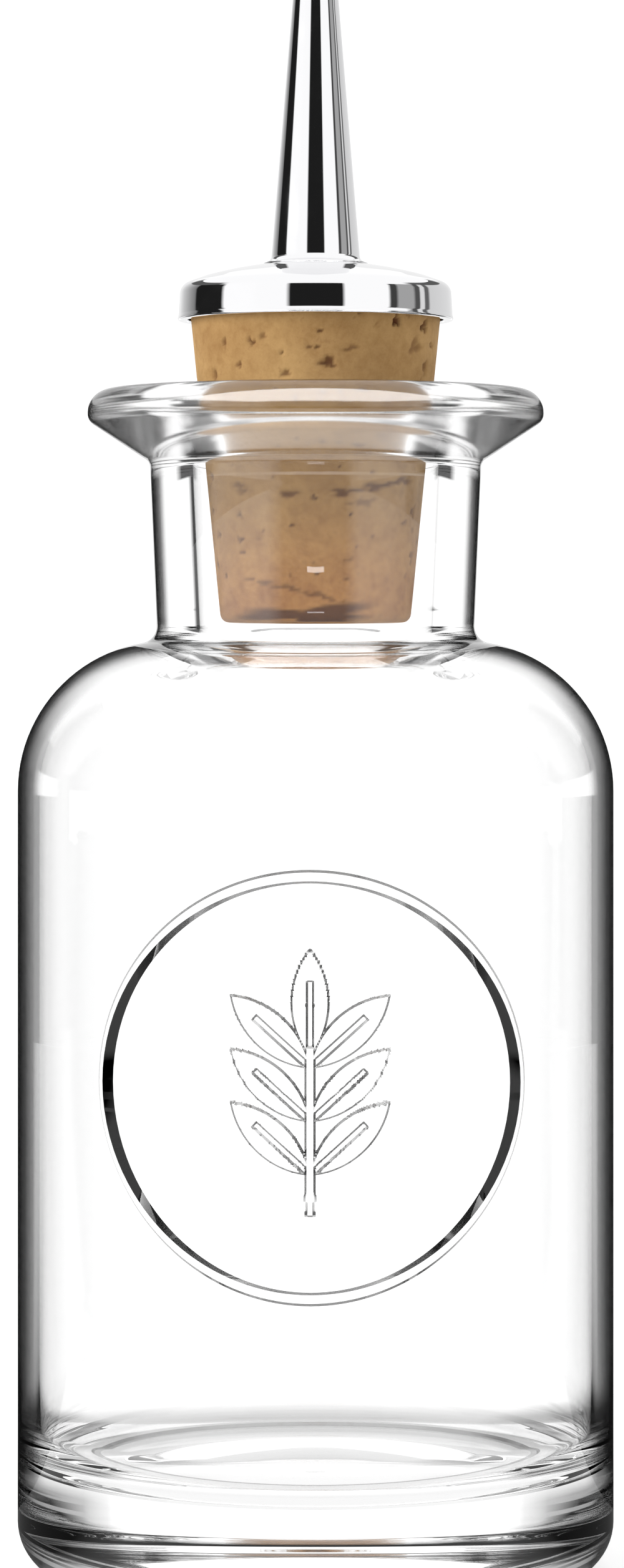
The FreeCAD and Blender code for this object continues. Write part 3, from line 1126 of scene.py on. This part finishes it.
headTones = [(-180.0, 0.85), (-160.0, 0.8), (-146.0, 0.55), (-136.0, 0.4), (-122.0, 0.2),
             (-119.0, 0.012), (-86.0, 0.012), (-82.0, 1.0), (-25.0, 1.0), (-21.0, 0.012), (22.0, 0.012),
             (25.0, 1.0), (63.0, 1.0), (66.0, 0.05), (71.0, 0.05), (74.0, 0.36), (90.0, 0.36), (93.0, 0.08),
             (97.0, 0.08), (99.0, 0.7), (103.0, 0.7), (105.0, 0.12), (109.0, 0.12), (112.0, 0.62),
             (150.0, 0.7), (180.0, 0.85)]

# Flags are upright sheets round the part: the rays that see them, their radius, and tones at each height.
flags = {
    "surround": ("transmission", 0.6, [
        (0.0, bodyTones), (0.059, bodyTones), (0.065, neckTones), (0.111, neckTones), (0.117, baseTones),
        (0.195, baseTones), (0.21, upperTones), (0.9, upperTones)]),
    "neckGloss": ("glossy", 0.4, [(0.0527, neckGlossTones), (0.082, neckGlossTones)]),
    "head": ("glossy", 0.4, [(0.13, headTones), (0.28, headTones)]),
    "headLow": ("glossy", 0.45, [(0.0, headTones), (0.125, headTones)]),
    "sideGloss": ("glossy", 0.6, [(0.1, glossTones), (0.5, glossTones)]),
    "front": ("diffuse", 0.55, [(0.02, frontTones), (0.6, frontTones)]),
}

# Tones of the floor as the glass and its gloss show it, with a painted shadow of the bottle round and under
# its
# base: a centre, a weight against the distance from there, and tones about it
floorToneAndShadowSheets = {
    "glassFloorWithShadow": ("transmission", [
        ((-0.025, 0.008), [(0.02, 0.0), (0.05, 1.0)],
         [(-142.0, 1.0), (-133.0, 0.0), (-95.0, 0.0), (-85.0, 1.0)]),
        ((0.025, 0.008), [(0.02, 0.0), (0.05, 1.0)],
         [(85.0, 1.0), (95.0, 0.0), (133.0, 0.0), (142.0, 1.0)]),
        # painted shadow of the bottle on the floor round its base, under its heel and under its foot
        ((0.0, 0.0), [(0.024, 0.0), (0.03, 1.0), (0.085, 1.0), (0.11, 0.0)],
         [(-145.0, 1.0), (-137.0, 0.2), (-95.0, 0.2), (-80.0, 1.0), (80.0, 1.0), (95.0, 0.12),
          (140.0, 0.12), (152.0, 1.0)]),
        ((0.0, 0.0), [(0.018, 0.0), (0.021, 1.0), (0.031, 1.0), (0.045, 0.0)],
         bothSides((100.0, 1.0), (115.0, 0.52))),
        ((0.0, 0.0), [(0.0235, 1.0), (0.027, 0.0)], [(0.0, 0.83)]),
        ((0.0, 0.0), [(0.05, 0.0), (0.08, 1.0)], bothSides((128.0, 1.0), (140.0, 1.12))),
    ]),
    "glossFloorWithShadow": ("glossy", [
        # painted shadow of the bottle on the floor round its foot
        ((0.0, 0.0), [(0.02, 1.0), (0.06, 1.0), (0.09, 0.0)],
         bothSides((60.0, 1.0), (80.0, 0.08), (150.0, 0.08), (172.0, 1.0))),
        ((0.0, 0.0), [(0.13, 0.0), (0.17, 1.0)], headTones),
    ]),
}
floorGrid = {
    "height": -0.00005,
    "start": 0.001,
    "fine": 0.06,
    "fineStep": 0.0015,
    "reach": 0.6,
    "outerRings": 40,
    "turn": 1.5,
}


# Sheets of the studio stand on its rig and show only to the rays named, never to the camera itself.
def addSheet(name, points, faces, material, rays, rig):
    sheet = addStagePiece(name, points, faces, material)
    sheet.parent = rig
    for ray in ("camera", "diffuse", "glossy", "transmission", "shadow", "volume_scatter"):
        setattr(sheet, "visible_" + ray, ray == rays)
    return sheet


# Sheet over a grid of points, whose rows run round the part and whose shade goes with each point
def addShadedSheet(name, points, shade, rays, rig, material):
    rows, columns = shade.shape
    corners = [i * columns + j for i in range(rows - 1) for j in range(columns - 1)]
    faces = [[k, k + 1, k + columns + 1, k + columns] for k in corners]
    sheet = addSheet(name, points.reshape(-1, 3).tolist(), faces, material, rays, rig)
    layer = sheet.data.attributes.new("shade", "FLOAT", "POINT")
    layer.data.foreach_set("value", shade.ravel().astype(np.float32))


def levelRow(radius, turns, z):
    return onRound(radius, np.radians(turns), np.full_like(turns, z))


def addFlags(rig, material):
    turns = np.arange(-180.0, 181.0)
    for name, (rays, radius, rows) in flags.items():
        points = np.array([levelRow(radius, turns, z) for z, tones in rows])
        shade = np.array([valueAt(tones, turns) for z, tones in rows])
        addShadedSheet(name, points, shade, rays, rig, material)


def addFloorToneAndShadowSheets(rig, material):
    turns = np.arange(-180.0, 181.0, floorGrid["turn"])
    near = np.arange(floorGrid["start"], floorGrid["fine"], floorGrid["fineStep"])
    far = np.geomspace(floorGrid["fine"], floorGrid["reach"], floorGrid["outerRings"])
    points = np.array([levelRow(r, turns, floorGrid["height"]) for r in np.concatenate([near, far])])
    for name, (rays, layers) in floorToneAndShadowSheets.items():
        shade = np.ones(points.shape[:2])
        for (cx, cy), weights, tones in layers:
            x, y = points[..., 0] - cx, points[..., 1] - cy
            share = valueAt(tones, np.degrees(np.arctan2(x, -y)))
            shade *= 1.0 + valueAt(weights, np.hypot(x, y)) * (share - 1.0)
        addShadedSheet(name, points, shade, rays, rig, material)


# Bright arc under the front of the lip, which the lip's flare reflects
flareArc = {
    "height": 0.1025,
    "radii": (0.0158, 0.0195),
    "columns": 41,
    "tones": bothSides((38.0, 2.6), (50.0, 0.6)),
}


def addFlareArc(rig, material):
    reach = flareArc["tones"][-1][0]
    turns = np.linspace(-reach, reach, flareArc["columns"])
    points = np.array([levelRow(r, turns, flareArc["height"]) for r in flareArc["radii"]])
    shade = np.array([valueAt(flareArc["tones"], turns)] * len(points))
    addShadedSheet("flareArc", points, shade, "glossy", rig, material)


# Black cards close behind the bottle's edges, cut to its outline, seen only as reflections at the rim
edgeCards = {
    "tone": 0.01,
    "reach": 0.16,
    # height, edge beside the axis and place behind the axis, in mm
    "outline": [(0.0, 31.5, 30.0), (73.0, 31.5, 30.0), (80.0, 29.5, 27.0), (84.0, 26.0, 22.0),
                (87.0, 20.5, 13.0), (89.0, 18.0, 10.0), (103.0, 18.0, 10.0), (107.0, 23.0, 13.0),
                (112.5, 24.0, 14.0)],
}


def addEdgeCards(rig):
    material = glowMaterial("blackCard", 1.0, edgeCards["tone"])
    outline = edgeCards["outline"]
    faces = [[2 * i, 2 * i + 1, 2 * i + 3, 2 * i + 2] for i in range(len(outline) - 1)]
    for name, side in (("edgeCardLeft", -1.0), ("edgeCardRight", 1.0)):
        points = []
        for z, beside, behind in outline:
            points.append((side * beside * mm, behind * mm, z * mm))
            points.append((side * edgeCards["reach"], behind * mm, z * mm))
        addSheet(name, points, faces, material, "glossy", rig)


# Bright sheets that only gloss picks up: half width, y and z of two edges, and strength
brightSheets = {
    "lipLight": (0.034, (-0.066, 0.1165), (-0.023, 0.1165), 14.0),
    "slitLight": (0.04, (-0.394, 0.0669), (-0.394, 0.0679), 9.0),
}


def addBrightSheets(rig):
    for name, (half, first, second, strength) in brightSheets.items():
        corners = [(-half, *first), (half, *first), (half, *second), (-half, *second)]
        material = glowMaterial(name + "Glow", strength, 1.0)
        addSheet(name, corners, [[0, 1, 2, 3]], material, "glossy", rig)


def addKey(rig):
    lamp = bpy.data.lights.new("key", "AREA")
    lamp.energy = studio["keyPower"]
    lamp.size = studio["keySize"]
    key = addObject("key", lamp)
    key.parent = rig
    key.location = studio["keyPlace"]
    aim = Vector(studio["keyAim"]) - Vector(studio["keyPlace"])
    key.rotation_euler = aim.to_track_quat("-Z", "Y").to_euler()


# The flags, sheets and key light stand on a rig that turns about the upright axis towards the camera.
def addRig():
    rig = addObject("rig", None)
    follow = rig.constraints.new("LOCKED_TRACK")
    follow.target = camera
    follow.track_axis = "TRACK_NEGATIVE_Y"
    follow.lock_axis = "LOCK_Z"
    return rig


def addStudio():
    world = bpy.data.worlds.new("studio")
    world.use_nodes = True
    light = world.node_tree.nodes["Background"]
    setNode(world.node_tree, light, {"Color": (1.0, 1.0, 1.0, 1.0), "Strength": studio["surroundings"]})
    bpy.context.scene.world = world
    addFloor()
    rig = addRig()
    soft = glowMaterial("softFlag", studio["surroundings"])
    addFlags(rig, soft)
    addFloorToneAndShadowSheets(rig, soft)
    addFlareArc(rig, soft)
    addEdgeCards(rig)
    addBrightSheets(rig)
    addKey(rig)


addStudio()

bounces = {"max": 32, "transmission": 28, "glossy": 12}
scene = bpy.context.scene
scene.view_settings.view_transform = "Standard"
for ray, count in bounces.items():
    setattr(scene.cycles, ray + "_bounces", count)
scene.cycles.use_denoising = True
print("studio made")
